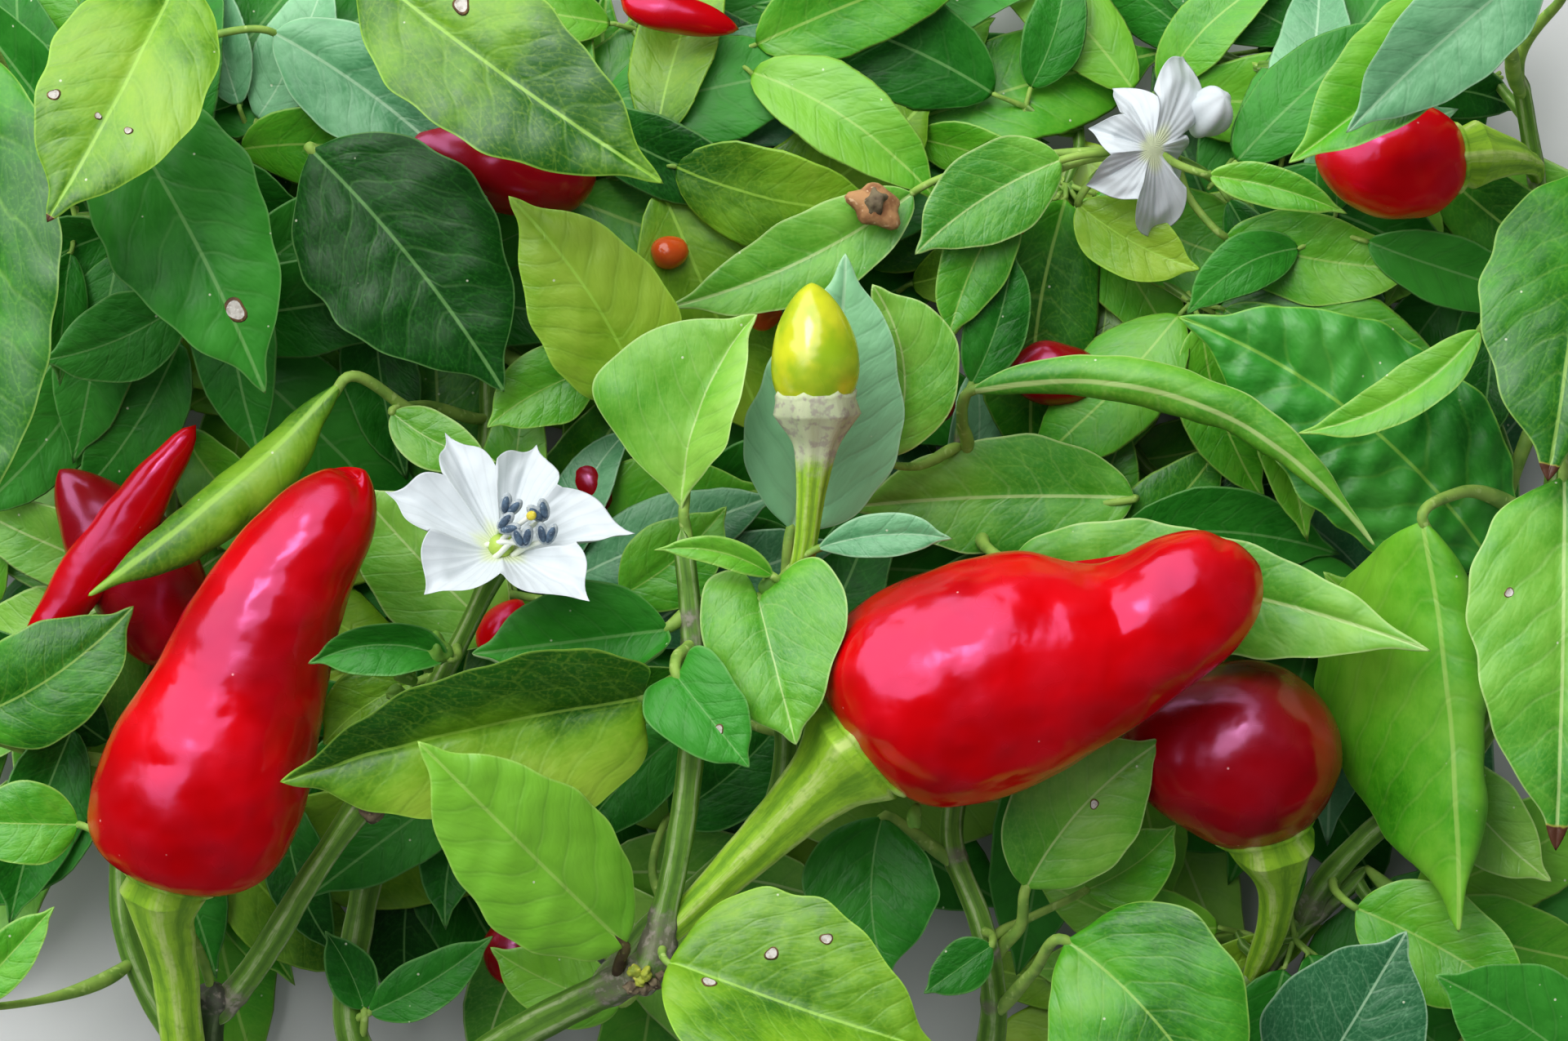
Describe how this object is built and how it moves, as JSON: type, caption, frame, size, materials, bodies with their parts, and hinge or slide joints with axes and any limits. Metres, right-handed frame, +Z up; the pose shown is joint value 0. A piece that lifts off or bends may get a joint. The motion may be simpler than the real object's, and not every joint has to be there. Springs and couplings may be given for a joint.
{
  "type": "cut fruiting chilli pepper branch",
  "caption": "Cut branch of a pepper bush lying down: forked green stems, pointed leaves, upright glossy red and yellow fruits and white star flowers over lumps of small leaves.",
  "frame": {"origin": "middle of the underside of the whole branch's box, on the surface that it lies on", "axes": "+X across the branch, towards the side of the long hanging leaf; +Y from the cut end towards the shoot tips; +Z up, out of the faces of the leaves"},
  "size_m": [0.1724, 0.1474, 0.0521],
  "materials": {
    "stem": "ridged green stem, half matt",
    "stalk": "ribbed pale green, half matt",
    "fruit": "waxy gloss",
    "dark_fruit": "waxy gloss",
    "young_fruit": "waxy gloss",
    "leaf": "soft sheen",
    "small_leaves": "soft sheen",
    "petal": "matt",
    "anther": "matt"
  },
  "bodies": {
    "root": {"main_stem": "stem", "centre_bough": "stem", "centre_stem": "stem", "left_bough": "stem", "flower_stem": "stem", "young_fruit_stem": "stem", "right_bough": "stem", "low_twig": "stem", "upper_right_bough": "stem", "back_bough": "stem", "upper_left_bough": "stem", "far_flower_stalk": "stalk", "left_stalk": "stalk", "right_stalk": "stalk", "young_stalk": "stalk", "dark_stalk": "stalk", "far_stalk": "stalk", "left_fruit": "fruit", "right_fruit": "fruit", "far_fruit": "fruit", "dark_fruit": "dark_fruit", "hidden_left_fruit": "dark_fruit", "hidden_top_fruit": "dark_fruit", "young_fruit": "young_fruit", "flower": "petal", "far_flower": "petal", "flower_heart": "anther", "leaf_long_front": "leaf", "leaf_low_front": "leaf", "leaf_bottom": "leaf", "leaf_heart": "leaf", "leaf_small_heart": "leaf", "leaf_dark_folded": "leaf", "leaf_blue_behind": "leaf", "leaf_folded_mid": "leaf", "leaf_upper_mid": "leaf", "leaf_low_right": "leaf", "leaf_dark_oval": "leaf", "leaf_round_bottom": "leaf", "leaf_bottom_right": "leaf", "leaf_behind_fruit": "leaf", "leaf_hanging_right": "leaf", "leaf_right_edge": "leaf", "leaf_right_top_edge": "leaf", "leaf_arched": "leaf", "leaf_quilted": "leaf", "leaf_top_right": "leaf", "leaf_top_left": "leaf", "leaf_left_edge": "leaf", "leaf_spotted_left": "leaf", "leaf_top_centre": "leaf", "leaf_rolled_left": "leaf", "leaf_dark_left": "leaf", "mass_top_left": "small_leaves", "mass_left": "small_leaves", "mass_centre": "small_leaves", "mass_top": "small_leaves", "mass_top_right": "small_leaves", "mass_right": "small_leaves", "mass_low_right": "small_leaves"}
  },
  "joints": []
}
